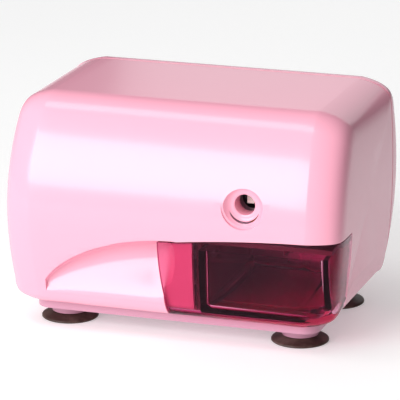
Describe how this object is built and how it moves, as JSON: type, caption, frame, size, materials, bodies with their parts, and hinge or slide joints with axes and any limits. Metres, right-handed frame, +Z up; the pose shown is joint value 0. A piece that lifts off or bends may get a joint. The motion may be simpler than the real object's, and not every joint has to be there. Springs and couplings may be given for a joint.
{
  "type": "electric pencil sharpener",
  "caption": "Wide glossy pink desk-top electric pencil sharpener with a front pencil hole, finger scoop, see-through shavings drawer and sucker feet.",
  "frame": {"origin": "on the table under the middle of the casing's bounding box", "axes": "+X to the right seen from the front, +Y to the back, +Z up; the pencil goes in along +Y"},
  "size_m": [0.148, 0.1, 0.099],
  "materials": {
    "body_pink": "gloss, pearl pink, moulded",
    "base_pink": "gloss, pink, moulded",
    "smoked_pink": "gloss, translucent magenta plastic",
    "sucker_rubber": "soft, dark brown, satin",
    "black_plastic": "satin, moulded",
    "dark_bay": "satin, moulded",
    "white_plastic": "satin, moulded acetal",
    "red_plastic": "gloss, moulded",
    "plated_steel": "zinc plated sheet and turned steel",
    "tool_steel": "ground and hardened",
    "die_cast": "die cast, fine grain",
    "bronze": "sintered bronze and brass",
    "copper_wire": "enamelled copper windings",
    "lamination": "stacked steel sheets",
    "carbon": "pressed carbon",
    "board": "phenolic circuit board",
    "capacitor_yellow": "gloss, box film capacitor",
    "fuse_glass": "clear glass tube with metal caps"
  },
  "bodies": {
    "housing": {"front_shell": "body_pink", "rear_cover": "body_pink", "base_plate": "base_pink", "sucker_front_left": "sucker_rubber", "sucker_front_right": "sucker_rubber", "sucker_rear_left": "sucker_rubber", "sucker_rear_right": "sucker_rubber", "base_screws": "plated_steel", "rear_cover_screws": "plated_steel", "cord_gland": "black_plastic", "drawer_bay": "dark_bay", "front_plate": "plated_steel", "gear_plate": "plated_steel", "outer_gear_plate": "plated_steel", "chassis_pillars": "plated_steel", "gear_standoffs": "plated_steel", "chassis_screws": "plated_steel", "ring_gear": "tool_steel", "ring_screws": "plated_steel", "front_bush": "bronze", "rear_bush": "bronze", "end_bush": "bronze", "idler_axle": "plated_steel", "motor_stack": "lamination", "field_coil_left": "copper_wire", "field_coil_right": "copper_wire", "motor_front_bracket": "plated_steel", "motor_bolts": "plated_steel", "brush_holders": "bronze", "carbon_brushes": "carbon", "lever_pin": "plated_steel", "start_switch": "black_plastic", "drawer_switch": "black_plastic", "circuit_board": "board", "board_screws": "plated_steel", "noise_capacitor": "capacitor_yellow", "terminal_block": "white_plastic", "fuse": "fuse_glass"},
    "drawer": {"shavings_drawer": "smoked_pink"},
    "carrier": {"cutter_carrier": "die_cast", "main_gear": "white_plastic", "cutter_axle": "plated_steel"},
    "cutter": {"helical_cutter": "tool_steel", "cutter_pinion": "tool_steel"},
    "idler": {"idler_gear": "white_plastic"},
    "armature": {"motor_pinion": "bronze", "motor_shaft": "plated_steel", "armature_core": "lamination", "armature_windings": "copper_wire", "commutator": "copper_wire", "cooling_fan": "black_plastic"},
    "lever": {"start_lever": "white_plastic"},
    "plunger": {"switch_plunger": "red_plastic"}
  },
  "joints": [
    {"name": "drawer_slide", "type": "slide", "parent": "housing", "child": "drawer", "axis": [0, -1, 0], "range_m": [0, 0.06]},
    {"name": "carrier_spin", "type": "hinge", "parent": "housing", "child": "carrier", "pos_m": [0.0332, 0, 0.0625], "axis": [0, 1, 0], "continuous": true},
    {"name": "cutter_spin", "type": "hinge", "parent": "carrier", "child": "cutter", "pos_m": [0.0332, -0.02298, 0.0737], "axis": [0, 0.9833, -0.1822], "continuous": true},
    {"name": "idler_spin", "type": "hinge", "parent": "housing", "child": "idler", "pos_m": [0.00413, 0.03, 0.07029], "axis": [0, 1, 0], "continuous": true},
    {"name": "armature_spin", "type": "hinge", "parent": "housing", "child": "armature", "pos_m": [-0.01627, 0.01, 0.05601], "axis": [0, 1, 0], "continuous": true},
    {"name": "lever_swing", "type": "hinge", "parent": "housing", "child": "lever", "pos_m": [0.0452, -0.036, 0.0655], "axis": [0, 1, 0], "range_deg": [0, 22], "stiffness_Nm_per_rad": 0.005, "springref_deg": -11.46},
    {"name": "plunger_press", "type": "slide", "parent": "housing", "child": "plunger", "axis": [0, 1, 0], "range_m": [0, 0.0012], "stiffness_N_per_m": 150, "springref_m": -0.001}
  ],
  "couplings": [
    {"joint": "cutter_spin", "follows": "carrier_spin", "ratio": -3},
    {"joint": "idler_spin", "follows": "carrier_spin", "ratio": -4},
    {"joint": "armature_spin", "follows": "carrier_spin", "ratio": 20.8}
  ]
}
